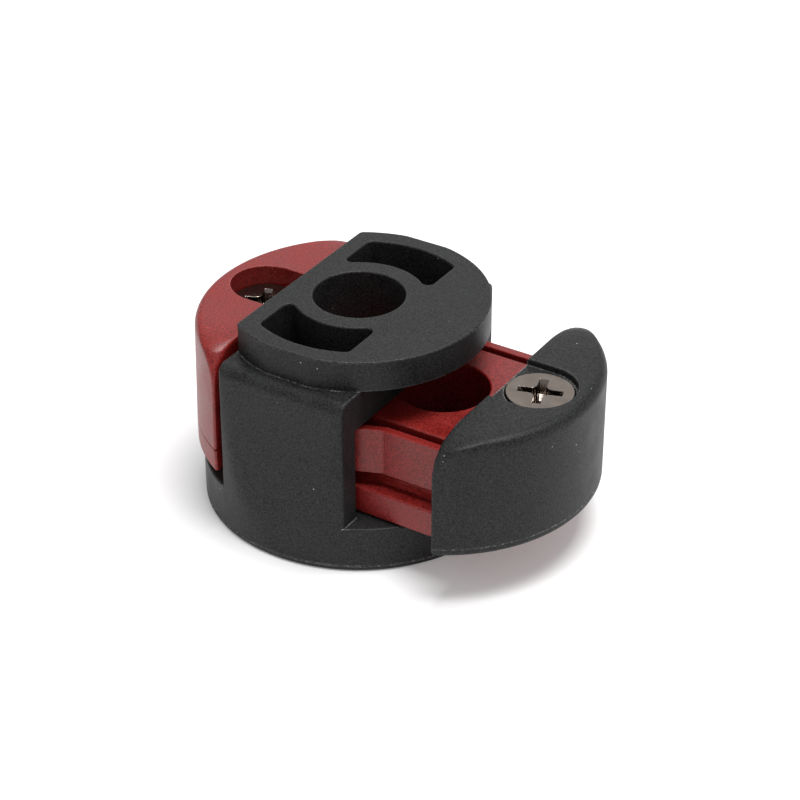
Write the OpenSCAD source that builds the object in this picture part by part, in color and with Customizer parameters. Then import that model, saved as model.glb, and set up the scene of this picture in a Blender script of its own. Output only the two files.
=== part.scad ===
// Two-position slide lock for a line or pin: a round housing with a through bore,
// crossed by a sliding gate that carries a half-round cap at each end.
// Z is the bore axis, the base stands on Z = 0 and the gate slides along X.
// The gate is drawn pulled out to +X, where its web closes the bore.

/* [Base and walls] */
// Radius of the round base and of both caps
base_r = 22; // [20:0.5:26]
// Height of the base flange, which is also the channel floor
floor_z = 6.8; // [5:0.1:8]
// Radius of the rounded lower edge of the base
base_edge_r = 0.5; // [0.4:0.1:1.5]
// Half length of the walls and of the block above the channel
wall_half_x = 9.8; // [9:0.1:11]
// Half width over the walls at their top edge
wall_top_y = 19.9; // [19:0.1:20.2]
// Height of the top of the walls
wall_z = 26; // [25.5:0.1:27]
// Radius of the hollow sweep on the outside of each wall
wall_sweep_r = 119; // [90:1:200]
// Radius of the rounded outer top edge of each wall
wall_edge_r = 1.2; // [0.5:0.1:2]

/* [Top plate] */
// Radius of the top plate
plate_r = 18; // [17:0.1:18.5]
// Distance from the bore axis to the straight side of the plate
plate_flat_x = 9.6; // [9:0.1:9.8]
// Half width between the two small flats of the plate
plate_half_y = 17.7; // [17:0.1:18]
// Height of the top face of the plate
top_z = 30.4; // [29:0.1:32]
// Inner radius of the curved pockets
pocket_r_in = 9.1; // [8.5:0.1:10]
// Outer radius of the curved pockets
pocket_r_out = 15.2; // [14:0.1:16]
// Half length of the curved pockets
pocket_half_x = 7; // [5:0.1:8]
// Height of the pocket floors
pocket_z = 22.3; // [22:0.1:26]

/* [Bore, channel and fixing holes] */
// Radius of the through bore
bore_r = 6.3; // [5:0.1:7]
// Half width of the channel for the gate
channel_half_y = 16.3; // [16:0.1:16.6]
// Height of the channel roof
channel_z = 20.5; // [20.4:0.1:21]
// Radius of the blind fixing holes under the base
fixing_r = 1.65; // [1.2:0.05:2]
// Diameter of the circle that the fixing holes lie on
fixing_pcd = 30.8; // [26:0.2:34]
// Depth of the fixing holes
fixing_depth = 5; // [3:0.5:5.5]

/* [Gate] */
// Distance from the bore axis to the gate's hole as drawn
pull = 13.4; // [13.3:0.1:13.6]
// Radius of the hole through the gate
gate_hole_r = 6.4; // [5.2:0.1:7]
// Half width of the middle of the gate
core_half_y = 11.1; // [10:0.1:11.5]
// Height of the top face of the gate
gate_z = 20.1; // [19:0.1:20.1]
// Gap below the gate
gate_gap = 0.2; // [0.1:0.05:0.4]
// Half width over the lower rails
rail_half_y = 15.2; // [14.5:0.1:15.8]
// Height of the top of the lower rails
rail_z = 11; // [9:0.1:12]
// Height of the underside of the spring arms
arm_z = 13.2; // [12:0.1:15]
// Thickness of the spring arms
arm_t = 1.3; // [1:0.1:1.6]
// Half width over the straight part of the arms
arm_half_y = 13.7; // [13:0.1:14]
// Half width over the flared end of the arms
flare_half_y = 15.9; // [15:0.1:16]
// Distance from the gate's hole to the start of the flare, to -X
flare_start = 1.1; // [0:0.1:3]
// Length of the sloping part of each arm
flare_len = 5.6; // [4:0.1:8]
// Length of the straight end of each arm
arm_tip_len = 3; // [2:0.1:5]

/* [Caps] */
// Distance between the centres of the two caps' arcs
cap_span = 14.3; // [14.1:0.1:14.6]
// Distance from a cap's arc centre to its flat inner face
cap_face = 9.85; // [9.82:0.01:10.2]
// Distance from a cap's arc centre to its screw
screw_x = 14.8; // [14:0.1:15.5]
// Height of the top of the right cap
right_top_z = 24.9; // [24:0.1:25.4]
// Height of the underside of the right cap
right_low_z = 7.5; // [7.2:0.1:9]
// Height of the top of the left cap
left_top_z = 27.5; // [26:0.1:28]
// Height of the joint between the left cap and its foot
left_foot_z = 12.1; // [11.2:0.1:13]
// Height of the underside of the left foot
left_low_z = 8.6; // [7.2:0.1:9.5]
// Radius of the rounded upper edge of the right cap
right_edge_r = 1.5; // [0.6:0.1:3]
// Radius of the rounded upper edge of the left cap
left_edge_r = 1.2; // [0.6:0.1:3]
// Radius of the rounded lower edge of the caps
cap_low_r = 0.8; // [0.3:0.1:1]
// Half width of the recess round each screw head
recess_half_y = 5.35; // [5:0.05:5.8]
// Radius of the ends of the gate inside the caps
tongue_r = 19.2; // [18:0.1:19.6]
// Clearance between the gate's ends and the pockets in the caps
tongue_gap = 0.1; // [0.05:0.05:0.2]

/* [Screws and inserts] */
// Height of the right screw's head
right_head_z = 24.2; // [24:0.1:24.5]
// Height of the left screw's head
left_head_z = 24.8; // [24.3:0.1:25.2]
// Radius of the countersunk screw heads
head_r = 4.65; // [4:0.05:5]
// Depth of the recess floor below the screw head
head_stand = 0.3; // [0:0.05:0.5]
// Height of the straight rim of the head
head_rim = 0.35; // [0.2:0.05:0.6]
// Turn of the left screw's cross, in degrees
left_turn = 25; // [0:1:89]
// Turn of the right screw's cross, in degrees
right_turn = 18; // [0:1:89]
// Radius of the screw shanks
shank_r = 2.45; // [2:0.05:2.45]
// Length of the screws, head included
screw_len = 14; // [12:1:16]
// Outer radius of the threaded inserts
insert_r = 3.5; // [3:0.1:4]
// Length of the threaded inserts
insert_len = 9; // [6:0.5:9.5]

/* [Hidden] */
$fn = 96;
eps = 0.01;
far = 60;
black = "#2d2d2f";
red = "#8f1518";
steel = "#a39b90";
brass = "#b08d3c";
gate_low_z = floor_z + gate_gap;
right_c = pull;
left_c = pull - cap_span;
right_face = right_c + cap_face;
left_face = left_c - cap_face;
groove_half_y = arm_half_y - arm_t;
insert_sink = 0.3;
insert_top_z = gate_z - insert_sink;
hole_gap = 0.05;
part_gap = 0.05;
rim_r = 0.3;
corner = 10;
over = 1;
screw_hole_z = insert_top_z - insert_len - 1.2;
sink_gap = 0.15;
cap_hole_gap = 0.2;
wing_r = 3;
wing_w = 1.1;
wing_depth = 1.1;
cross_depth = 2.2;
cross_r_low = 0.7;
cross_r_top = 1.4;
insert_bore_r = shank_r + 0.03;
insert_waist_r = insert_r - 0.4;
insert_band_r = insert_r - 0.02;
insert_band = 2.2;
insert_bands = 3;

// A disc about the Z axis with rounded outer edges; a radius of 0 leaves an edge sharp
module round_disc(r, z0, z1, low_r, up_r) {
    rotate_extrude() {
        translate([0, z0 + low_r]) square([r, z1 - z0 - low_r - up_r]);
        if (low_r > 0) {
            translate([0, z0]) square([r - low_r, low_r + eps]);
            translate([r - low_r, z0 + low_r]) circle(low_r);
        }
        if (up_r > 0) {
            translate([0, z1 - up_r - eps]) square([r - up_r, up_r + eps]);
            translate([r - up_r, z1 - up_r]) circle(up_r);
        }
    }
}

// Everything beyond the plane at x, to +X for side 1 and to -X for side -1
module half_space(x, side) {
    translate([side > 0 ? x : x - far, -far / 2, -far / 2]) cube(far);
}

// Cross-section of the two walls and the block between them, in Y and Z
module wall_section() {
    difference() {
        translate([-base_r, base_edge_r]) square([2 * base_r, wall_z - base_edge_r]);
        for (s = [-1, 1])
            translate([s * (wall_top_y - wall_edge_r + corner / 2), wall_z - wall_edge_r + corner / 2])
                square(corner, center = true);
    }
    for (s = [-1, 1])
        translate([s * (wall_top_y - wall_edge_r), wall_z - wall_edge_r]) circle(wall_edge_r);
}

// Space outside the hollow sweep that narrows the walls and the base between them
module wall_sweeps() {
    for (s = [-1, 1])
        translate([0, s * (wall_top_y + wall_sweep_r), wall_z]) rotate([0, 90, 0])
            cylinder(r = wall_sweep_r, h = far, center = true, $fn = 360);
}

module walls() {
    intersection() {
        rotate([90, 0, 90])
            linear_extrude(2 * wall_half_x, center = true) wall_section();
        cylinder(r = base_r, h = wall_z);
    }
}

module top_plate() {
    translate([0, 0, channel_z]) linear_extrude(top_z - channel_z) intersection() {
        circle(plate_r);
        translate([-plate_flat_x, -plate_half_y]) square([far, 2 * plate_half_y]);
    }
}

// The plate overhangs the channel mouth, so the space under it is cut away again
module mouth() {
    translate([wall_half_x, -far / 2, floor_z]) cube([far, far, wall_z - floor_z]);
}

module channel() {
    translate([-far / 2, -channel_half_y, floor_z])
        cube([far, 2 * channel_half_y, channel_z - floor_z]);
}

module curved_pocket(side) {
    translate([0, 0, pocket_z]) linear_extrude(top_z) intersection() {
        difference() {
            circle(pocket_r_out);
            circle(pocket_r_in);
        }
        translate([-pocket_half_x, side > 0 ? 0 : -far]) square([2 * pocket_half_x, far]);
    }
}

module fixing_holes() {
    for (a = [45:90:315])
        rotate(a) translate([fixing_pcd / 2, 0, -eps]) cylinder(r = fixing_r, h = fixing_depth + eps);
}

module housing() {
    color(black) difference() {
        union() {
            round_disc(base_r, 0, floor_z, base_edge_r, rim_r);
            walls();
            difference() {
                top_plate();
                mouth();
            }
        }
        wall_sweeps();
        channel();
        for (s = [-1, 1]) curved_pocket(s);
        fixing_holes();
        translate([0, 0, -eps]) cylinder(r = bore_r, h = top_z + 2 * eps);
    }
}

// Plan of one spring arm, on the +Y side
module arm_plan() {
    x1 = pull - flare_start;
    x2 = x1 - flare_len;
    x3 = x2 - arm_tip_len;
    x0 = right_face + over;
    polygon([[x0, arm_half_y], [x1, arm_half_y], [x2, flare_half_y], [x3, flare_half_y],
             [x3, flare_half_y - arm_t], [x2, flare_half_y - arm_t], [x1, groove_half_y],
             [x0, groove_half_y]]);
}

// End of the gate inside a cap, grown by g on every side
module tongue(side, half_y, low_z, g) {
    c = side > 0 ? right_c : left_c;
    face = side > 0 ? right_face : left_face;
    translate([0, 0, low_z]) linear_extrude(gate_z - low_z + g) intersection() {
        translate([c, 0]) circle(tongue_r + g);
        translate([side > 0 ? face - eps : face - far + eps, -half_y - g])
            square([far, 2 * (half_y + g)]);
    }
}

module screw_hole(side) {
    x = side > 0 ? right_c + screw_x : left_c - screw_x;
    translate([x, 0, screw_hole_z]) cylinder(r = shank_r + hole_gap, h = far);
    translate([x, 0, insert_top_z - insert_len]) cylinder(r = insert_r, h = insert_len + over);
}

module left_foot() {
    intersection() {
        translate([left_c, 0, 0]) round_disc(base_r, left_low_z, left_foot_z, cap_low_r, 0);
        half_space(left_face, -1);
    }
}

module gate() {
    color(red) difference() {
        union() {
            translate([left_face, -core_half_y, gate_low_z])
                cube([right_face - left_face, 2 * core_half_y, gate_z - gate_low_z]);
            translate([left_face, -rail_half_y, gate_low_z])
                cube([right_face - left_face, 2 * rail_half_y, rail_z - gate_low_z]);
            for (s = [0, 1])
                mirror([0, s, 0]) translate([0, 0, arm_z]) linear_extrude(gate_z - arm_z) arm_plan();
            tongue(1, arm_half_y, right_low_z, 0);
            tongue(-1, core_half_y, left_low_z, 0);
            left_foot();
        }
        translate([pull, 0, 0]) cylinder(r = gate_hole_r, h = far);
        for (s = [-1, 1]) screw_hole(s);
    }
}

// Hole, countersink and open-ended recess for the screw in a cap
module head_recess(side, head_z, cap_z) {
    x = side > 0 ? right_c + screw_x : left_c - screw_x;
    floor_h = head_z - head_stand;
    face = side > 0 ? right_face : left_face;
    sink_r = head_r + sink_gap;
    sink_h = sink_r - shank_r;
    translate([x, 0, gate_z - over]) cylinder(r = shank_r + cap_hole_gap, h = far);
    translate([x, 0, floor_h - head_rim - sink_h]) cylinder(r1 = shank_r, r2 = sink_r, h = sink_h);
    translate([x, 0, floor_h - head_rim]) cylinder(r = sink_r, h = cap_z);
    translate([x, 0, floor_h]) cylinder(r = recess_half_y, h = cap_z);
    translate([min(x, face - over), -recess_half_y, floor_h])
        cube([abs(x - face) + over, 2 * recess_half_y, cap_z]);
}

module right_cap() {
    color(black) difference() {
        intersection() {
            translate([right_c, 0, 0])
                round_disc(base_r, right_low_z, right_top_z, cap_low_r, right_edge_r);
            half_space(right_face, 1);
        }
        tongue(1, arm_half_y, right_low_z - over, tongue_gap);
        head_recess(1, right_head_z, right_top_z);
    }
}

module left_cap() {
    color(red) difference() {
        intersection() {
            translate([left_c, 0, 0])
                round_disc(base_r, left_foot_z + part_gap, left_top_z, 0, left_edge_r);
            half_space(left_face, -1);
        }
        tongue(-1, core_half_y, left_low_z, tongue_gap);
        head_recess(-1, left_head_z, left_top_z);
    }
}

// Countersunk cross-recessed screw with its head's top at z = 0
module screw() {
    cone_h = head_r - shank_r;
    difference() {
        union() {
            translate([0, 0, -head_rim]) cylinder(r = head_r, h = head_rim);
            translate([0, 0, -head_rim - cone_h]) cylinder(r1 = shank_r, r2 = head_r, h = cone_h);
            translate([0, 0, -screw_len]) cylinder(r = shank_r, h = screw_len - head_rim);
        }
        for (a = [0, 90])
            rotate(a) translate([-wing_r, -wing_w / 2, -wing_depth])
                cube([2 * wing_r, wing_w, cross_depth]);
        translate([0, 0, -cross_depth])
            cylinder(r1 = cross_r_low, r2 = cross_r_top, h = cross_depth + eps);
    }
}

// Threaded brass insert with its top at z = 0
module insert() {
    step = (insert_len - insert_band) / (insert_bands - 1);
    difference() {
        union() {
            translate([0, 0, -insert_len]) cylinder(r = insert_waist_r, h = insert_len);
            for (k = [0:insert_bands - 1])
                translate([0, 0, -insert_len + k * step])
                    cylinder(r = insert_band_r, h = insert_band);
        }
        translate([0, 0, -insert_len - eps]) cylinder(r = insert_bore_r, h = insert_len + 2 * eps);
    }
}

module left_screw() {
    color(steel) translate([left_c - screw_x, 0, left_head_z]) rotate(left_turn) screw();
}

module right_screw() {
    color(steel) translate([right_c + screw_x, 0, right_head_z]) rotate(right_turn) screw();
}

module left_insert() {
    color(brass) translate([left_c - screw_x, 0, insert_top_z]) insert();
}

module right_insert() {
    color(brass) translate([right_c + screw_x, 0, insert_top_z]) insert();
}

housing();
gate();
left_cap();
right_cap();
left_screw();
right_screw();
left_insert();
right_insert();
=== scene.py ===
"""Looks of the sliding gate line lock: rounded mouldings, grained plastics and plated screws.

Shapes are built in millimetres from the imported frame's own sizes, then scaled to metres.
"""

import math

import bmesh
import bpy
from mathutils import Matrix, Vector


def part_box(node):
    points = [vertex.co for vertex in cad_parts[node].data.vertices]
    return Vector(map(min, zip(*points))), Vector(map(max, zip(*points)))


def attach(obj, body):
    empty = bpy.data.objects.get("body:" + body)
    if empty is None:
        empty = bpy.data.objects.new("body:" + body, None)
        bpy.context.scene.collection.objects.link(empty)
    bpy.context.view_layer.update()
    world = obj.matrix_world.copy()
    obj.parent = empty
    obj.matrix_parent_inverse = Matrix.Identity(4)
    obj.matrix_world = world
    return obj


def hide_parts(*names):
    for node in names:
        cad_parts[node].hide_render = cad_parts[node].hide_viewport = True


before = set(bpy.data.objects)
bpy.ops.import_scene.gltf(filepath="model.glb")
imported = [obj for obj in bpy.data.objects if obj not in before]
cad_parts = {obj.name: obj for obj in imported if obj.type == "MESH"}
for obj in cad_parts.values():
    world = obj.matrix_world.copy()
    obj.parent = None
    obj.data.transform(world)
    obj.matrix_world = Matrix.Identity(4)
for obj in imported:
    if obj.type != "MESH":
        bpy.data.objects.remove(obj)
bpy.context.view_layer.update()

MM = 0.001


def span(node):
    """Lowest and highest corner of a CAD node, in millimetres."""
    low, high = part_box(node)
    return low / MM, high / MM


# ---------------------------------------------------------------- sizes, in millimetres
# An _R is a radius, a _Z a height above the floor, a _HALF_X or _HALF_Y half a width.
_, housing_high = span("housing")
gate_low, gate_high = span("gate")
left_low, left_high = span("left_cap")
right_low, right_high = span("right_cap")

# Housing: round base flange, then two walls with a channel between them.
BASE_R = housing_high.y
TOP_Z = housing_high.z
FLOOR_Z = 6.8
BASE_EDGE_R = 0.5
BASE_GROOVE_Z = 0.85
BASE_GROOVE = 0.13
FLANGE_EDGE_R = 0.35

WALL_HALF_X = 9.8
WALL_TOP_Y = 19.9
WALL_Z = 26.0
WALL_SWEEP_R = 119.0
WALL_EDGE_R = 1.6
WALL_END_R = 0.45
WALL_TOP_END_R = 0.15
SWEEP_BLEND = 0.3

CHANNEL_HALF_Y = 16.3
CHANNEL_Z = 20.5
CHANNEL_EDGE_R = 0.28
CHANNEL_PAST = 0.5

# Top plate, its two pockets, the through bore and the fixing holes in the base.
PLATE_R = 18.0
PLATE_FLAT_X = 9.6
PLATE_HALF_Y = 17.7
PLATE_CORNER_R = 0.9
PLATE_EDGE_R = 0.2
PLATE_LOW_R = 0.15
PLATE_SINK = 0.05

POCKET_R_IN = 9.1
POCKET_R_OUT = 15.2
POCKET_HALF_X = 7.0
POCKET_Z = 22.3
POCKET_CORNER_R = 0.9
RIM_R = 0.25

BORE_R = 6.3
FIXING_R = 1.65
FIXING_RIM_R = 0.2
FIXING_PCD = 30.8
FIXING_DEPTH = 5.0

# Gate: a web on two rails, with a spring arm on each side.
PULL = right_high.x - BASE_R
GATE_Z = gate_high.z
GATE_HOLE_R = 6.4
CORE_HALF_Y = 11.1
RAIL_HALF_Y = 15.2
RAIL_Z = 11.0
RAIL_CORNER_R = 0.4
GATE_EDGE_R = 0.3
GATE_IN_CAP = 0.5

ARM_Z = 13.2
ARM_TOP_Z = 20.0
ARM_T = 1.3
ARM_HALF_Y = 13.7
ARM_EDGE_R = 0.18
ARM_ROOT_R = 0.3
ARM_ROOT_IN = 1.0
ARM_BEND_OUT_R = 1.5
ARM_BEND_IN_R = 0.5
ARM_TIP_R = 0.4
ARM_TIP_LEN = 3.0
FLARE_HALF_Y = 15.9
FLARE_START = 1.1
FLARE_LEN = 5.6

# Caps: discs of the base's radius, cut off at the face that meets the housing's walls.
RIGHT_C = PULL
LEFT_C = left_low.x + BASE_R
CAP_FACE = right_low.x - RIGHT_C
RIGHT_EDGE_R = 1.5
LEFT_EDGE_R = 1.2
LEFT_DRAFT = 0.3
CAP_FACE_R = 0.4
TIP_R = 0.3
TOE_R = 1.0
CROWN_R = 4.2
CROWN_RISE = 5.4
LIP_R = 0.7
LIP_FACE_R = 0.6
LIP_H = 1.2
LIP_GROOVE = 0.09

FOOT_Z = 8.6
FOOT_LOW_R = 0.5
FOOT_FACE_R = 0.25
SEAM_Z = left_low.z
SEAM_R = 0.14
SEAM_GAP = 0.05

RIGHT_RECESS_HALF_Y = 5.35
LEFT_RECESS_HALF_Y = 4.95
RIGHT_RIM_R = 0.2
LEFT_RIM_R = 0.15
RECESS_SHIFT = 0.38
RECESS_PAST = 3.0
TONGUE_R = 19.2
TONGUE_GAP = 0.1
TONGUE_OVERLAP = 1.0
TONGUE_STEP = 1.0
SINK_BELOW = 0.5

# Screws and the threaded inserts below them.
HEAD_R = 4.65
HEAD_RIM = 0.35
HEAD_EDGE_R = 0.16
HEAD_STAND = 0.3
SINK_GAP = 0.15
SHANK_R = 2.45
SHANK_HOLE_GAP = 0.2
SCREW_LEN = 14.0
THREAD_PITCH = 0.8
THREAD_DEPTH = 0.38
POINT_IN = 0.5
POINT_LEN = 0.4
NECK_IN = 0.3
LEFT_TURN = 25
RIGHT_TURN = 18

CROSS_DEPTH = 2.5
CROSS_TIP_R = 0.12
CROSS_RINGS = (
    # height, half length of a wing, half width of a wing, inner corner radius
    (-CROSS_DEPTH, 1.5, 0.42, 0.35),
    (-CROSS_DEPTH * 0.76, 2.35, 0.52, 0.7),
    (-0.55, 2.6, 0.57, 0.8),
    (-0.03, 3.05, 0.62, 0.85),
    (0.05, 3.15, 0.72, 0.75),
)

INSERT_R = 3.5
INSERT_TOP_Z = 19.8
INSERT_LEN = 9.0
INSERT_HOLE_GAP = 0.05
INSERT_HOLE_DEEPER = 1.2

# How far a cutting tool passes a face that it opens: just past it, or well past it.
OVER = 0.01
PAST = 1.0

# ---------------------------------------------------------------- mesh settings
# _STEPS count the parts of an outline, and _RINGS the levels of a loft.
ROUND_STEPS = 96
FIXING_STEPS = 40
INSERT_STEPS = 48
RECESS_STEPS = 40
TONGUE_STEPS = 40
CROSS_STEPS = 4
POCKET_OUT_STEPS = 24
POCKET_IN_STEPS = 20
POCKET_CORNER_STEPS = 5

CORNER_STEPS = 6
END_STEPS = 16
WALL_STEPS = 14
BASE_RINGS = 4
WALL_RINGS = 11
WALL_EDGE_RINGS = 7
WALL_END_RINGS = 3
CAP_RINGS = 10
CAP_EDGE_RINGS = 8
CAP_FACE_RINGS = 4

BEVEL_ANGLE = math.radians(40)
SHARP_ANGLE = math.radians(34)
LEVEL_MERGE = 1e-6
LOFT_MERGE = 0.0005
CUT_MERGE = 0.003


# ---------------------------------------------------------------- outlines and solids
def arc(cx, cy, r, start, end, steps):
    """Points on an arc, in degrees, ends included."""
    angles = [math.radians(start + (end - start) * k / steps) for k in range(steps + 1)]
    return [(cx + r * math.cos(a), cy + r * math.sin(a)) for a in angles]


def circle(cx, cy, r, steps=ROUND_STEPS):
    """Closed outline of a circle."""
    return arc(cx, cy, r, 0, 360, steps)[:-1]


def rounded(corners, steps=5):
    """Closed outline through corners (x, y, radius), each rounded by its own radius."""
    points = []
    for k, (x, y, r) in enumerate(corners):
        here = Vector((x, y))
        before = (Vector(corners[k - 1][:2]) - here).normalized()
        after = (Vector(corners[(k + 1) % len(corners)][:2]) - here).normalized()
        half = before.angle(after) / 2
        centre = here + (before + after).normalized() * (r / math.sin(half))
        start = here + before * (r / math.tan(half)) - centre
        end = here + after * (r / math.tan(half)) - centre
        first = math.atan2(start.y, start.x)
        turn = (math.atan2(end.y, end.x) - first + math.pi) % math.tau - math.pi
        last = math.degrees(first + turn)
        points += arc(centre.x, centre.y, r, math.degrees(first), last, steps)
    return points


def segment(r, face, corner, arc_steps=96, corner_steps=7, face_steps=12):
    """The part of a disc beyond x = face, with its two corners rounded."""
    corner_y = math.sqrt((r - corner) ** 2 - (face + corner) ** 2)
    lean = math.degrees(math.atan2(corner_y, face + corner))
    points = arc(0, 0, r, -lean, lean, arc_steps)
    points += arc(face + corner, corner_y, corner, lean, 180, corner_steps)[1:]
    points += [(face, corner_y * (1 - 2 * k / face_steps)) for k in range(1, face_steps)]
    points += arc(face + corner, -corner_y, corner, 180, 360 - lean, corner_steps)[:-1]
    return points


def grown(outline, by):
    """The outline moved outwards along its own normals. It runs anticlockwise."""
    points = []
    for k, (x, y) in enumerate(outline):
        back = Vector((x - outline[k - 1][0], y - outline[k - 1][1])).normalized()
        ahead_x, ahead_y = outline[(k + 1) % len(outline)]
        ahead = Vector((ahead_x - x, ahead_y - y)).normalized()
        normal = Vector((back.y + ahead.y, -back.x - ahead.x)).normalized()
        reach = by / max(0.5, normal.dot(Vector((ahead.y, -ahead.x))))
        points.append((x + normal.x * reach, y + normal.y * reach))
    return points


def low_levels(low, r, steps=5):
    """Pairs (height, inset) that round a lower edge, from the bottom up."""
    quarter = [math.radians(90 * k / steps) for k in range(steps + 1)]
    return [(low + r * (1 - math.sin(a)), r * (1 - math.cos(a))) for a in reversed(quarter)]


def high_levels(high, r, steps=5):
    """Pairs (height, inset) that round an upper edge, from the bottom up."""
    quarter = [math.radians(90 * k / steps) for k in range(steps + 1)]
    return [(high - r * (1 - math.sin(a)), r * (1 - math.cos(a))) for a in quarter]


def heights(levels):
    return [z for z, _ in levels]


def round_inset(z, low, high, low_r, high_r):
    """How far a side with a rounded lower and upper edge stands in at height z."""
    if z - low < high - z:
        near, r = low_r - (z - low), low_r
    else:
        near, r = high_r - (high - z), high_r
    if near <= 0:
        return 0.0
    return r - math.sqrt(max(0.0, r**2 - near**2))


def new_piece(name, bm):
    """Object from a bmesh, with its faces turned outwards."""
    bmesh.ops.recalc_face_normals(bm, faces=bm.faces)
    mesh = bpy.data.meshes.new(name)
    bm.to_mesh(mesh)
    bm.free()
    piece = bpy.data.objects.new(name, mesh)
    bpy.context.scene.collection.objects.link(piece)
    return piece


def loft(name, rings):
    """Closed solid through rings of points that all have the same count."""
    bm = bmesh.new()
    rows = [[bm.verts.new(p) for p in ring] for ring in rings]
    for lower, upper in zip(rows, rows[1:]):
        for k in range(len(lower)):
            bm.faces.new((lower[k - 1], lower[k], upper[k], upper[k - 1]))
    bm.faces.new(reversed(rows[0]))
    bm.faces.new(rows[-1])
    bmesh.ops.remove_doubles(bm, verts=bm.verts, dist=LOFT_MERGE)
    return new_piece(name, bm)


def prism(name, outline, low, high, low_r=0.0, high_r=0.0, along="z"):
    """Solid with that outline between two heights, or along x between two distances.

    Its end edges are rounded inwards, or flared outwards for a radius below 0.
    """
    levels = []
    for height, inset in low_levels(low, abs(low_r)) + high_levels(high, abs(high_r)):
        sign = low_r if height < (low + high) / 2 else high_r
        level = (height, math.copysign(inset, sign))
        if not levels or abs(level[0] - levels[-1][0]) > LEVEL_MERGE:
            levels.append(level)
    rings = []
    for height, inset in levels:
        plan = grown(outline, -inset)
        if along == "z":
            rings.append([(x, y, height) for x, y in plan])
        else:
            rings.append([(height, x, y) for x, y in plan])
    return loft(name, rings)


def lathe(name, profile, x=0.0, steps=ROUND_STEPS):
    """Solid of revolution about the upright axis at x, from (radius, height) pairs."""
    return loft(name, [[(px, py, z) for px, py in circle(x, 0.0, r, steps)] for r, z in profile])


def settle(piece):
    """Applies the piece's modifiers and merges points that coincide."""
    view = bpy.context.evaluated_depsgraph_get()
    mesh = bpy.data.meshes.new_from_object(piece.evaluated_get(view))
    piece.modifiers.clear()
    piece.data = mesh
    bm = bmesh.new()
    bm.from_mesh(mesh)
    bmesh.ops.remove_doubles(bm, verts=bm.verts, dist=CUT_MERGE)
    bmesh.ops.dissolve_degenerate(bm, edges=bm.edges, dist=CUT_MERGE)
    bm.to_mesh(mesh)
    bm.free()


def combine(piece, operation, *tools):
    """Applies one boolean per tool to the piece, and removes the tools."""
    for tool in tools:
        step = piece.modifiers.new("step", "BOOLEAN")
        step.operation = operation
        step.solver = "EXACT"
        step.object = tool
        settle(piece)
        bpy.data.objects.remove(tool)
    return piece


def cut(piece, *tools):
    return combine(piece, "DIFFERENCE", *tools)


def join(piece, *tools):
    return combine(piece, "UNION", *tools)


def round_edges(piece, width, chosen, segments=3):
    """Rounds the sharp outward edges whose two ends are both chosen."""
    bm = bmesh.new()
    bm.from_mesh(piece.data)
    edges = [
        e
        for e in bm.edges
        if len(e.link_faces) == 2
        and e.is_convex
        and e.calc_face_angle(0) > BEVEL_ANGLE
        and all(chosen(v.co) for v in e.verts)
    ]
    bmesh.ops.bevel(
        bm, geom=edges, offset=width, segments=segments, profile=0.5, affect="EDGES"
    )
    bm.to_mesh(piece.data)
    bm.free()


def finished(piece, body, node, material):
    """Scales the piece to metres, smooths it, gives it its material, sets what it rides on, and
    hides the CAD part that it replaces.
    """
    piece.data.transform(Matrix.Scale(MM, 4))
    for face in piece.data.polygons:
        face.use_smooth = True
    piece.data.set_sharp_from_angle(angle=SHARP_ANGLE)
    even = piece.modifiers.new("even_normals", "WEIGHTED_NORMAL")
    even.keep_sharp = True
    piece.data.materials.clear()
    piece.data.materials.append(material)
    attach(piece, body)
    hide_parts(node)


# ---------------------------------------------------------------- materials
# Noise scales count grains per metre.
GRAIN_SCALE = 4400.0
MOTTLE_SCALE = 260.0
BROAD_SCALE = 55.0
GLINT_SCALE = 2600.0
SPECK_SCALE = 850.0
METAL_GRAIN_SCALE = 4200.0
METAL_BLOTCH_SCALE = 420.0
FLOOR_SHADE_SCALE = 30.0

# Where most of a noise's values lie.
MIDDLE = (0.3, 0.7)

# Moulded plastic. Ranges are values of a noise. EDGE_COSINES compare the rounded and the
# plain normal, and SPECK_RADII are in widths of a speck's cell.
GRAIN_RANGE = (0.32, 0.68)
MOTTLE_TINT = 0.08
EDGE_REACH = 0.45 * MM
EDGE_COSINES = (0.72, 0.97)
# Edges get a painted highlight in patches, and painted glints on top of it.
HIGHLIGHT_PATCH_RANGE = (0.35, 0.65)
HIGHLIGHT_PATCH_SHARES = (0.2, 0.75)
SPECK_RADII = (0.05, 0.1)
GLINT_RANGE = (0.52, 0.64)
GLINT_SHARE = 0.9
MOTTLE_ROUGH = 0.05
BROAD_ROUGH = 0.04
EDGE_POLISH = -0.16
POLISH_FULL = 0.6
WAVE_STRENGTH = 0.3
GRAIN_STRENGTH = 0.55
RELIEF = 0.05 * MM

# Metal: screws and inserts.
# Painted highlight along the metal's edges: how far it reaches, where it starts, its share and how
# much brighter it is.
METAL_EDGE_REACH = 0.15 * MM
METAL_EDGE_COSINES = (0.8, 0.97)
METAL_EDGE_SHARE = 0.5
METAL_EDGE_GAIN = 1.3
METAL_ROUGH = 0.06
METAL_STRENGTH = 0.2
METAL_RELIEF = 0.012 * MM


def add(tree, kind, **settings):
    """Adds a node. Settings name its properties, or its input sockets."""
    node = tree.nodes.new(kind)
    for name, value in settings.items():
        if name in node.inputs:
            node.inputs[name].default_value = value
        else:
            setattr(node, name, value)
    return node


def math_node(tree, operation, a, b):
    node = add(tree, "ShaderNodeMath", operation=operation)
    for k, value in enumerate((a, b)):
        if isinstance(value, (int, float)):
            node.inputs[k].default_value = value
        else:
            tree.links.new(value, node.inputs[k])
    return node.outputs[0]


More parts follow.
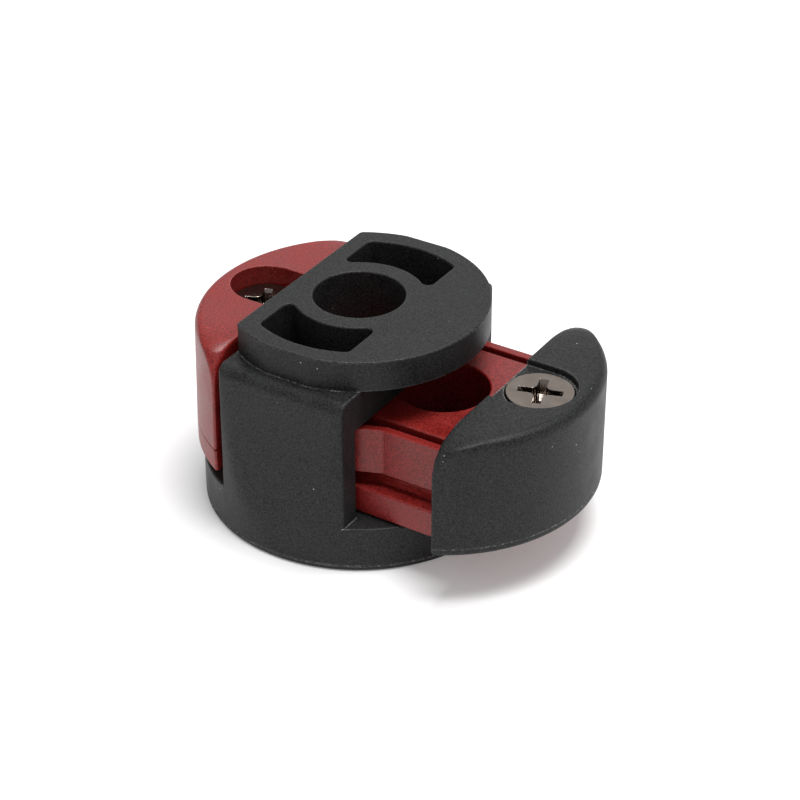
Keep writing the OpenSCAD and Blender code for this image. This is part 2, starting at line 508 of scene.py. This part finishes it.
def remap(tree, value, from_low, from_high, to_low, to_high):
    """Value stretched from one range to another, and held inside it."""
    node = add(tree, "ShaderNodeMapRange", clamp=True)
    tree.links.new(value, node.inputs["Value"])
    node.inputs["From Min"].default_value = from_low
    node.inputs["From Max"].default_value = from_high
    node.inputs["To Min"].default_value = to_low
    node.inputs["To Max"].default_value = to_high
    return node.outputs[0]


def mix_colour(tree, factor, a, b):
    """Colour a where the factor is 0, and b where it is 1."""
    node = add(tree, "ShaderNodeMix", data_type="RGBA")
    tree.links.new(factor, node.inputs["Factor"])
    for name, value in (("A", a), ("B", b)):
        socket = [s for s in node.inputs if s.name == name and s.type == "RGBA"][0]
        if isinstance(value, tuple):
            socket.default_value = value
        else:
            tree.links.new(value, socket)
    return [s for s in node.outputs if s.type == "RGBA"][0]


def noise(tree, place, scale, detail, roughness=0.5):
    node = add(tree, "ShaderNodeTexNoise", Scale=scale, Detail=detail, Roughness=roughness)
    tree.links.new(place, node.inputs["Vector"])
    return node.outputs["Fac"]


def start_material(name):
    material = bpy.data.materials.new(name)
    material.use_nodes = True
    tree = material.node_tree
    shader = tree.nodes["Principled BSDF"]
    place = tree.nodes.new("ShaderNodeTexCoord").outputs["Object"]
    return material, tree, shader, place


def edge_mask(tree, reach, cosines):
    """1 along outward and inward edges and 0 on open surface."""
    low, high = cosines
    soft = add(tree, "ShaderNodeBevel", samples=6, Radius=reach)
    plain = tree.nodes.new("ShaderNodeNewGeometry")
    dot = add(tree, "ShaderNodeVectorMath", operation="DOT_PRODUCT")
    tree.links.new(soft.outputs["Normal"], dot.inputs[0])
    tree.links.new(plain.outputs["Normal"], dot.inputs[1])
    return remap(tree, dot.outputs["Value"], high, low, 0.0, 1.0)


def specks(tree, place, share):
    """Round dots in that share of a cell pattern's cells."""
    cells = add(tree, "ShaderNodeTexVoronoi", Scale=SPECK_SCALE)
    tree.links.new(place, cells.inputs["Vector"])
    dot = remap(tree, cells.outputs["Distance"], *SPECK_RADII, 1.0, 0.0)
    split = tree.nodes.new("ShaderNodeSeparateColor")
    tree.links.new(cells.outputs["Color"], split.inputs[0])
    chosen = math_node(tree, "GREATER_THAN", split.outputs[0], 1.0 - share)
    return math_node(tree, "MULTIPLY", dot, chosen)


def moulded_plastic(name, deep, light, edge_highlight, speck_and_glint, rough, speck_share, gloss):
    """Moulded nylon: fine grain, slow mottling, a painted highlight with painted glints along its
    edges, and a few pale specks.
    """
    material, tree, shader, place = start_material(name)
    grain = noise(tree, place, GRAIN_SCALE, detail=2.0, roughness=0.7)
    mottle = noise(tree, place, MOTTLE_SCALE, detail=4.0)
    broad = noise(tree, place, BROAD_SCALE, detail=2.0)
    sparkle = noise(tree, place, GLINT_SCALE, detail=2.0, roughness=0.7)
    edges = edge_mask(tree, EDGE_REACH, EDGE_COSINES)

    fine = remap(tree, grain, *GRAIN_RANGE, 0.0, 1.0)
    slow = remap(tree, mottle, *MIDDLE, -MOTTLE_TINT, MOTTLE_TINT)
    colour = mix_colour(tree, math_node(tree, "ADD", fine, slow), deep, light)
    # Painted highlight along edges in patches, then painted glints along edges in the pale speck
    # colour.
    patchy = remap(tree, mottle, *HIGHLIGHT_PATCH_RANGE, *HIGHLIGHT_PATCH_SHARES)
    colour = mix_colour(tree, math_node(tree, "MULTIPLY", edges, patchy), colour, edge_highlight)
    colour = mix_colour(tree, specks(tree, place, speck_share), colour, speck_and_glint)
    glints = remap(tree, sparkle, *GLINT_RANGE, 0.0, GLINT_SHARE)
    colour = mix_colour(tree, math_node(tree, "MULTIPLY", edges, glints), colour, speck_and_glint)
    tree.links.new(colour, shader.inputs["Base Color"])

    patches = remap(tree, mottle, *MIDDLE, rough - MOTTLE_ROUGH, rough + MOTTLE_ROUGH)
    wide = remap(tree, broad, *MIDDLE, -BROAD_ROUGH, BROAD_ROUGH)
    dull = math_node(tree, "ADD", patches, wide)
    polish = remap(tree, edges, 0.0, POLISH_FULL, 0.0, EDGE_POLISH)
    tree.links.new(math_node(tree, "ADD", dull, polish), shader.inputs["Roughness"])
    shader.inputs["Specular IOR Level"].default_value = gloss

    waves = add(tree, "ShaderNodeBump", Strength=WAVE_STRENGTH, Distance=RELIEF)
    tree.links.new(mottle, waves.inputs["Height"])
    relief = add(tree, "ShaderNodeBump", Strength=GRAIN_STRENGTH, Distance=RELIEF)
    tree.links.new(grain, relief.inputs["Height"])
    tree.links.new(waves.outputs["Normal"], relief.inputs["Normal"])
    tree.links.new(relief.outputs["Normal"], shader.inputs["Normal"])
    return material


def plated_metal(name, deep, light, rough):
    """Bare metal with a faint grain, soft blotches and a painted highlight along its edges."""
    material, tree, shader, place = start_material(name)
    grain = noise(tree, place, METAL_GRAIN_SCALE, detail=3.0, roughness=0.6)
    blotch = noise(tree, place, METAL_BLOTCH_SCALE, detail=3.0)
    bright = tuple(min(1.0, METAL_EDGE_GAIN * c) for c in light[:3]) + (1.0,)
    colour = mix_colour(tree, remap(tree, blotch, *MIDDLE, 0.0, 1.0), deep, light)
    # Painted highlight: the metal's colour brightens along edges.
    edges = edge_mask(tree, METAL_EDGE_REACH, METAL_EDGE_COSINES)
    edge_highlight = math_node(tree, "MULTIPLY", edges, METAL_EDGE_SHARE)
    colour = mix_colour(tree, edge_highlight, colour, bright)
    tree.links.new(colour, shader.inputs["Base Color"])
    shader.inputs["Metallic"].default_value = 1.0
    dull = remap(tree, grain, *MIDDLE, rough - METAL_ROUGH, rough + METAL_ROUGH)
    tree.links.new(dull, shader.inputs["Roughness"])
    relief = add(tree, "ShaderNodeBump", Strength=METAL_STRENGTH, Distance=METAL_RELIEF)
    tree.links.new(grain, relief.inputs["Height"])
    tree.links.new(relief.outputs["Normal"], shader.inputs["Normal"])
    return material


# Each plastic's edge colour is a painted highlight along edges, and its speck colour also paints
# glints there.
BLACK = moulded_plastic(
    "black_nylon",
    deep=(0.0015, 0.0016, 0.0018, 1),
    light=(0.034, 0.0345, 0.0355, 1),
    edge_highlight=(0.24, 0.24, 0.242, 1),
    speck_and_glint=(0.42, 0.42, 0.41, 1),
    rough=0.44,
    speck_share=0.06,
    gloss=0.19,
)
RED = moulded_plastic(
    "red_nylon",
    deep=(0.085, 0.001, 0.001, 1),
    light=(0.325, 0.022, 0.018, 1),
    edge_highlight=(0.46, 0.07, 0.06, 1),
    speck_and_glint=(0.5, 0.2, 0.18, 1),
    rough=0.4,
    speck_share=0.012,
    gloss=0.46,
)
STEEL = plated_metal(
    "stainless_steel",
    deep=(0.175, 0.146, 0.128, 1),
    light=(0.24, 0.203, 0.178, 1),
    rough=0.22,
)
BRASS = plated_metal(
    "brass",
    deep=(0.58, 0.42, 0.17, 1),
    light=(0.68, 0.52, 0.24, 1),
    rough=0.32,
)


# ---------------------------------------------------------------- housing
def wall_half_y(x, r, z):
    """Half width of walls and base at x: a circle narrowed by the hollow sweep, softly blended."""
    sweep = WALL_TOP_Y + WALL_SWEEP_R - math.sqrt(WALL_SWEEP_R**2 - (WALL_Z - z) ** 2)
    sweep -= round_inset(z, 0, WALL_Z, 0, WALL_EDGE_R)
    full = math.sqrt(r**2 - x**2)
    return (full + sweep - math.hypot(full - sweep, SWEEP_BLEND)) / 2


def housing_ring(z, in_wall):
    """Outline at a height: the full round flange, or the walls with rounded upright corners."""
    r = BASE_R - round_inset(z, 0, WALL_Z, BASE_EDGE_R, 0)
    end_x = WALL_HALF_X - round_inset(z, 0, WALL_Z, 0, WALL_TOP_END_R)
    straight = WALL_HALF_X - WALL_END_R
    if abs(z - BASE_GROOVE_Z) < BASE_GROOVE / 2:
        r -= BASE_GROOVE
    end_y = wall_half_y(end_x, r, z) - (WALL_END_R if in_wall else 0)
    rim = r if in_wall else r - round_inset(z, 0, FLOOR_Z, 0, FLANGE_EDGE_R)
    last = math.atan2(end_y, end_x)
    quarter = []
    for k in range(END_STEPS):
        share = k / END_STEPS
        if in_wall:
            quarter.append((end_x, end_y * share))
        else:
            quarter.append((rim * math.cos(last * share), rim * math.sin(last * share)))
    for k in range(CORNER_STEPS, 0, -1):
        turn = math.pi / 2 * k / CORNER_STEPS
        x = straight + (end_x - straight) * math.sin(turn)
        drop = WALL_END_R * (1 - math.cos(turn)) if in_wall else 0
        quarter.append((x, wall_half_y(x, r, z) - drop))
    for k in range(WALL_STEPS, -1, -1):
        x = straight * k / WALL_STEPS
        quarter.append((x, wall_half_y(x, r, z)))
    half = quarter + [(-x, y) for x, y in reversed(quarter[:-1])]
    return [(x, y, z) for x, y in half + [(-x, -y) for x, y in half[1:-1]]]


def housing_body():
    """Base flange and walls as one loft."""
    base = heights(low_levels(0, BASE_EDGE_R) + high_levels(FLOOR_Z, FLANGE_EDGE_R))
    base += [FLOOR_Z * k / BASE_RINGS for k in range(1, BASE_RINGS)]
    base += [BASE_GROOVE_Z + step * BASE_GROOVE for step in (-1, 0, 1)]
    ridge = WALL_Z - WALL_EDGE_R
    walls = [FLOOR_Z + (ridge - FLOOR_Z) * k / WALL_RINGS for k in range(WALL_RINGS)]
    walls += heights(high_levels(WALL_Z, WALL_EDGE_R, WALL_EDGE_RINGS))
    walls += heights(high_levels(WALL_Z, WALL_TOP_END_R, WALL_END_RINGS))[1:-1]
    rings = [housing_ring(z, False) for z in sorted(base)]
    rings += [housing_ring(z, True) for z in sorted(walls)]
    return loft("housing_moulding", rings)


def pocket_plan(side):
    """Outline of a curved pocket: two arcs about the bore, with straight rounded ends."""
    r = POCKET_CORNER_R
    steps = POCKET_CORNER_STEPS
    x = POCKET_HALF_X - r
    outer_y = math.sqrt((POCKET_R_OUT - r) ** 2 - x**2)
    inner_y = math.sqrt((POCKET_R_IN + r) ** 2 - x**2)
    outer = math.degrees(math.atan2(outer_y, x))
    inner = math.degrees(math.atan2(inner_y, x))
    points = arc(0, 0, POCKET_R_OUT, outer, 180 - outer, POCKET_OUT_STEPS)
    points += arc(-x, outer_y, r, 180 - outer, 180, steps)[1:]
    points += arc(-x, inner_y, r, 180, 360 - inner, steps)
    points += arc(0, 0, POCKET_R_IN, 180 - inner, inner, POCKET_IN_STEPS)[1:-1]
    points += arc(x, inner_y, r, 180 + inner, 360, steps)
    points += arc(x, outer_y, r, 0, outer, steps)[:-1]
    return points if side > 0 else [(-px, -py) for px, py in points]


def on_channel_end(p):
    """Whether a point lies round the channel's mouth in a wall's end face."""
    beside = abs(p.y) < CHANNEL_HALF_Y + OVER and p.z < CHANNEL_Z + OVER
    return beside and abs(abs(p.x) - WALL_HALF_X) < OVER


def make_housing():
    housing = housing_body()

    half_x = WALL_HALF_X + CHANNEL_PAST
    half_y = CHANNEL_HALF_Y
    corners = [(-half_x, -half_y), (half_x, -half_y), (half_x, half_y), (-half_x, half_y)]
    cut(housing, prism("tool", corners, FLOOR_Z, CHANNEL_Z))

    plan = [
        (x, max(-PLATE_HALF_Y, min(PLATE_HALF_Y, y)))
        for x, y in segment(PLATE_R, -PLATE_FLAT_X, PLATE_CORNER_R)
    ]
    join(housing, prism("tool", plan, WALL_Z - PLATE_SINK, TOP_Z, PLATE_LOW_R, PLATE_EDGE_R))

    bore = circle(0, 0, BORE_R)
    tools = [prism("tool", bore, -RIM_R / 2, TOP_Z + OVER, -RIM_R, -RIM_R)]
    for side in (1, -1):
        tools.append(prism("tool", pocket_plan(side), POCKET_Z, TOP_Z + OVER, 0.0, -RIM_R))
    for k in range(4):
        a = math.radians(45 + 90 * k)
        reach = FIXING_PCD / 2
        hole = circle(reach * math.cos(a), reach * math.sin(a), FIXING_R, FIXING_STEPS)
        tools.append(prism("tool", hole, -OVER, FIXING_DEPTH, -FIXING_RIM_R, 0.0))
    cut(housing, *tools)
    round_edges(housing, CHANNEL_EDGE_R, on_channel_end)
    finished(housing, "body", "housing", BLACK)


# ---------------------------------------------------------------- caps
def placed(points, centre_x, side):
    """A cap's own plan, which faces +X, put at its centre and turned for its side."""
    return [(centre_x + side * x, side * y) for x, y in points]


def cap_solid(
    name, centre_x, side, low, high, radii, crown=0.0, draft=0.0, toe=0.0, groove_z=None
):
    """Half-round solid; radii are its lower, upper and lower inner edges.

    Its two tips are nearly sharp. A crown rounds them off towards the top, and a toe at the
    bottom. The draft is how far its side leans in, and a fine groove runs round at groove_z.
    """
    low_r, high_r, face_low_r = radii
    levels = low_levels(low, low_r, CAP_EDGE_RINGS)
    levels += high_levels(high, high_r, CAP_EDGE_RINGS)
    levels += low_levels(low, face_low_r, CAP_FACE_RINGS)
    levels += high_levels(high, CAP_FACE_R, CAP_FACE_RINGS)
    cuts = {round(z, 2) for z in heights(levels)}
    straight = high - high_r - low - low_r
    cuts |= {round(low + low_r + straight * k / CAP_RINGS, 2) for k in range(1, CAP_RINGS)}
    if groove_z:
        cuts = {z for z in cuts if abs(z - groove_z) > 3 * LIP_GROOVE}
        cuts |= {groove_z - LIP_GROOVE, groove_z, groove_z + LIP_GROOVE}
    rings = []
    for z in sorted(cuts):
        inset = round_inset(z, low, high, low_r, high_r) + draft * (z - low) / (high - low)
        if z == groove_z:
            inset += LIP_GROOVE
        face_inset = round_inset(z, low, high, face_low_r, CAP_FACE_R)
        rise = min(1.0, max(0.0, 1 - (high - z) / CROWN_RISE))
        sink = min(1.0, max(0.0, 1 - (z - low) / low_r))
        corner = TIP_R + crown * (1 - math.sqrt(1 - rise**2)) + toe * (1 - math.sqrt(1 - sink**2))
        plan = segment(BASE_R - inset, CAP_FACE + face_inset, corner)
        rings.append([(x, y, z) for x, y in placed(plan, centre_x, side)])
    return loft(name, rings)


def recess_plan(centre_x, side, screw_x, half_y):
    """U-shaped recess round a screw head, open towards the bore."""
    open_x = CAP_FACE - RECESS_PAST
    plan = arc(screw_x - RECESS_SHIFT, 0, half_y, -90, 90, RECESS_STEPS)
    plan += [(open_x, half_y), (open_x, -half_y)]
    return placed(plan, centre_x, side)


def tongue_plan(centre_x, side, half_y, by):
    """End of the gate inside a cap, grown by a gap."""
    y = half_y + by
    r = TONGUE_R + by
    edge = math.degrees(math.asin(y / r))
    start = CAP_FACE - TONGUE_OVERLAP
    plan = arc(0, 0, r, -edge, edge, TONGUE_STEPS) + [(start, y), (start, -y)]
    return placed(plan, centre_x, side)


def screw_centre(node):
    low, high = span(node)
    return (low.x + high.x) / 2


def open_cap(cap, centre_x, side, screw, high, tongue_low, tongue_half_y, half_y, rim_r):
    """Cuts the recess, the countersunk hole and the pocket for the gate's end."""
    world_x = screw_centre(screw)
    floor_z = span(screw)[1].z - HEAD_STAND
    sink_r = HEAD_R + SINK_GAP
    hole_r = SHANK_R + SHANK_HOLE_GAP
    tongue = tongue_plan(centre_x, side, tongue_half_y, TONGUE_GAP)
    recess = recess_plan(centre_x, side, side * (world_x - centre_x), half_y)
    sink = [
        (hole_r, GATE_Z - SINK_BELOW),
        (hole_r, floor_z - HEAD_RIM - sink_r + SHANK_R),
        (sink_r, floor_z - HEAD_RIM),
        (sink_r, high + PAST),
    ]
    cut(
        cap,
        prism("tool", tongue, tongue_low, GATE_Z + TONGUE_GAP),
        prism("tool", recess, floor_z, high + OVER, 0.0, -rim_r),
        lathe("tool", sink, world_x),
    )


def make_caps():
    low, high = right_low.z, right_high.z
    right = cap_solid(
        "right_cap_moulding",
        RIGHT_C,
        side=1,
        low=low,
        high=high,
        radii=(LIP_R, RIGHT_EDGE_R, LIP_FACE_R),
        crown=CROWN_R,
        toe=TOE_R,
        groove_z=low + LIP_H,
    )
    open_cap(
        right,
        RIGHT_C,
        side=1,
        screw="right_screw",
        high=high,
        tongue_low=low - PAST,
        tongue_half_y=ARM_HALF_Y,
        half_y=RIGHT_RECESS_HALF_Y,
        rim_r=RIGHT_RIM_R,
    )
    finished(right, "slide", "right_cap", BLACK)

    low, high = SEAM_Z, left_high.z
    left = cap_solid(
        "left_cap_moulding",
        LEFT_C,
        side=-1,
        low=low,
        high=high,
        radii=(SEAM_R, LEFT_EDGE_R, SEAM_R),
        crown=CROWN_R,
        draft=LEFT_DRAFT,
    )
    open_cap(
        left,
        LEFT_C,
        side=-1,
        screw="left_screw",
        high=high,
        tongue_low=low - PAST,
        tongue_half_y=CORE_HALF_Y,
        half_y=LEFT_RECESS_HALF_Y,
        rim_r=LEFT_RIM_R,
    )
    finished(left, "slide", "left_cap", RED)


# ---------------------------------------------------------------- gate
def arm_plan(side):
    """Plan of a spring arm that flares outwards inside the channel."""
    x0 = RIGHT_C + CAP_FACE + ARM_ROOT_IN
    x1 = PULL - FLARE_START
    x2 = x1 - FLARE_LEN
    x3 = x2 - ARM_TIP_LEN
    inner = ARM_HALF_Y - ARM_T
    corners = [
        (x0, inner, ARM_ROOT_R),
        (x0, ARM_HALF_Y, ARM_ROOT_R),
        (x1, ARM_HALF_Y, ARM_BEND_OUT_R),
        (x2, FLARE_HALF_Y, ARM_BEND_OUT_R),
        (x3, FLARE_HALF_Y, ARM_TIP_R),
        (x3, FLARE_HALF_Y - ARM_T, ARM_TIP_R),
        (x2, FLARE_HALF_Y - ARM_T, ARM_BEND_IN_R),
        (x1, inner, ARM_BEND_IN_R),
    ]
    plan = rounded(corners)
    return plan if side > 0 else [(x, -y) for x, y in reversed(plan)]


def web_and_rails():
    """The gate's long section: a raised web on a wider pair of rails."""
    e = GATE_EDGE_R
    low = gate_low.z
    section = [
        (-RAIL_HALF_Y, low, e),
        (RAIL_HALF_Y, low, e),
        (RAIL_HALF_Y, RAIL_Z, e),
        (CORE_HALF_Y, RAIL_Z, RAIL_CORNER_R),
        (CORE_HALF_Y, GATE_Z, e),
        (-CORE_HALF_Y, GATE_Z, e),
        (-CORE_HALF_Y, RAIL_Z, RAIL_CORNER_R),
        (-RAIL_HALF_Y, RAIL_Z, e),
    ]
    start = LEFT_C - CAP_FACE - GATE_IN_CAP
    end = RIGHT_C + CAP_FACE + GATE_IN_CAP
    return prism("gate_moulding", rounded(section), start, end, along="x")


def insert_hole(x):
    """Tool for an insert's seat and the narrower hole below it."""
    bottom = INSERT_TOP_Z - INSERT_LEN
    hole_r = SHANK_R + INSERT_HOLE_GAP
    profile = [
        (hole_r, bottom - INSERT_HOLE_DEEPER),
        (hole_r, bottom),
        (INSERT_R, bottom + OVER),
        (INSERT_R, GATE_Z + PAST),
    ]
    return lathe("tool", profile, x, INSERT_STEPS)


def make_gate():
    gate = web_and_rails()
    foot_radii = (FOOT_LOW_R, SEAM_R, FOOT_FACE_R)
    foot = cap_solid("tool", LEFT_C, -1, FOOT_Z, SEAM_Z - SEAM_GAP, foot_radii)
    right_end = tongue_plan(RIGHT_C, 1, ARM_HALF_Y, 0)
    left_end = tongue_plan(LEFT_C, -1, CORE_HALF_Y, 0)
    join(
        gate,
        foot,
        prism("tool", right_end, right_low.z, GATE_Z - OVER),
        prism("tool", left_end, FOOT_Z + TONGUE_STEP, GATE_Z - OVER),
        prism("tool", arm_plan(1), ARM_Z, ARM_TOP_Z, ARM_EDGE_R, ARM_EDGE_R),
        prism("tool", arm_plan(-1), ARM_Z, ARM_TOP_Z, ARM_EDGE_R, ARM_EDGE_R),
    )

    e = GATE_EDGE_R
    hole = [(PULL + x, y) for x, y in circle(0, 0, GATE_HOLE_R)]
    cut(
        gate,
        prism("tool", hole, gate_low.z - OVER, GATE_Z + OVER, -e, -e),
        insert_hole(screw_centre("left_screw")),
        insert_hole(screw_centre("right_screw")),
    )
    finished(gate, "slide", "gate", RED)


# ---------------------------------------------------------------- screws and inserts
def cross_ring(z, half, half_w, inner_r):
    """Plan of the cross recess at one height."""
    wing = ((half, -half_w, CROSS_TIP_R), (half, half_w, CROSS_TIP_R), (half_w, half_w, inner_r))
    corners = []
    for c, s in ((1, 0), (0, 1), (-1, 0), (0, -1)):
        for along, across, r in wing:
            corners.append((along * c - across * s, along * s + across * c, r))
    return [(x, y, z) for x, y in rounded(corners, CROSS_STEPS)]


def make_screw(node, turn):
    """Countersunk cross-recessed machine screw with a ridged shank."""
    cone_z = -HEAD_RIM - (HEAD_R - SHANK_R)
    profile = [(SHANK_R - POINT_IN, -SCREW_LEN)]
    z = -SCREW_LEN + POINT_LEN
    while z < cone_z - THREAD_PITCH:
        profile += [(SHANK_R - THREAD_DEPTH, z), (SHANK_R, z + THREAD_PITCH / 2)]
        z += THREAD_PITCH
    profile += [(SHANK_R - NECK_IN, cone_z - NECK_IN), (SHANK_R - NECK_IN, cone_z)]
    profile.append((HEAD_R, -HEAD_RIM))
    for degrees in (0, 30, 60, 90):
        a = math.radians(degrees)
        inset, drop = HEAD_EDGE_R * (1 - math.cos(a)), HEAD_EDGE_R * (math.sin(a) - 1)
        profile.append((HEAD_R - inset, drop))
    screw = lathe(node + "_turned", profile)
    cut(screw, loft("tool", [cross_ring(*ring) for ring in CROSS_RINGS]))
    spot = Matrix.Translation((screw_centre(node), 0, span(node)[1].z))
    screw.data.transform(spot @ Matrix.Rotation(math.radians(turn), 4, "Z"))
    finished(screw, "slide", node, STEEL)


def make_inserts():
    for node in ("left_insert", "right_insert"):
        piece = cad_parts[node]
        piece.data.materials.clear()
        piece.data.materials.append(BRASS)


# ---------------------------------------------------------------- stage, in metres
FLOOR_HALF = 1.5
FLOOR_DROP = 0.02 * MM
FLOOR_DARK = (0.83, 0.83, 0.83, 1)
FLOOR_LIGHT = (0.87, 0.87, 0.87, 1)
FLOOR_ROUGH = 0.8
FLOOR_GLOW = 0.17
WHITE = (1, 1, 1, 1)
SKY_STRENGTH = 0.5
LAMPS = (
    # name, place, size, power in watts
    ("key", (0.12, 0.03, 0.74), 0.35, 5.3),
    ("back", (-0.32, 0.52, 0.38), 0.4, 0.27),
)
LAMP_AIM = (0, 0, 0.01)

CAMERA_AZIMUTH = 31.90
CAMERA_ELEVATION = 32.21
CAMERA_DISTANCE = 0.3315
CAMERA_ASIDE = 0.00551
CAMERA_ABOVE = 0.01136
LENS_MM = 104.7
SENSOR_MM = 36.0


def make_floor():
    """Pale, faintly glowing floor, a hair below the base so that the two don't coincide."""
    bm = bmesh.new()
    bmesh.ops.create_grid(bm, x_segments=2, y_segments=2, size=FLOOR_HALF)
    floor = new_piece("floor", bm)
    floor.location.z = -FLOOR_DROP
    paper, tree, shader, place = start_material("pale_floor")
    shade = noise(tree, place, FLOOR_SHADE_SCALE, detail=2.0)
    colour = mix_colour(tree, shade, FLOOR_DARK, FLOOR_LIGHT)
    tree.links.new(colour, shader.inputs["Base Color"])
    shader.inputs["Roughness"].default_value = FLOOR_ROUGH
    shader.inputs["Emission Color"].default_value = WHITE
    shader.inputs["Emission Strength"].default_value = FLOOR_GLOW
    floor.data.materials.append(paper)


def make_lights():
    """Even white sky, a soft key lamp overhead and a little to the right, and a weak back lamp."""
    world = bpy.data.worlds.new("studio")
    world.use_nodes = True
    background = world.node_tree.nodes["Background"]
    background.inputs["Color"].default_value = WHITE
    background.inputs["Strength"].default_value = SKY_STRENGTH
    bpy.context.scene.world = world

    for name, place, size, power in LAMPS:
        lamp = bpy.data.lights.new(name, "AREA")
        lamp.size = size
        lamp.energy = power
        holder = bpy.data.objects.new(name, lamp)
        holder.location = place
        aim = Vector(LAMP_AIM) - Vector(place)
        holder.rotation_euler = aim.to_track_quat("-Z", "Y").to_euler()
        bpy.context.scene.collection.objects.link(holder)


def make_camera():
    """Camera at the measured angle: azimuth and elevation of the line of sight, and its aim."""
    azimuth, elevation = math.radians(CAMERA_AZIMUTH), math.radians(CAMERA_ELEVATION)
    ahead = Vector(
        (
            -math.sin(azimuth) * math.cos(elevation),
            math.cos(azimuth) * math.cos(elevation),
            -math.sin(elevation),
        )
    )
    right = Vector((math.cos(azimuth), math.sin(azimuth), 0))
    up = right.cross(ahead)
    data = bpy.data.cameras.new("camera")
    data.lens = LENS_MM
    data.sensor_width = SENSOR_MM
    camera = bpy.data.objects.new("camera", data)
    basis = Matrix((right, up, -ahead)).transposed().to_4x4()
    place = -CAMERA_DISTANCE * ahead + CAMERA_ASIDE * right + CAMERA_ABOVE * up
    camera.matrix_world = Matrix.Translation(place) @ basis
    bpy.context.scene.collection.objects.link(camera)
    bpy.context.scene.camera = camera


make_housing()
make_caps()
make_gate()
make_screw("left_screw", LEFT_TURN)
make_screw("right_screw", RIGHT_TURN)
make_inserts()
make_floor()
make_lights()
make_camera()

view = bpy.context.scene.view_settings
view.view_transform = "Standard"
view.look = "None"
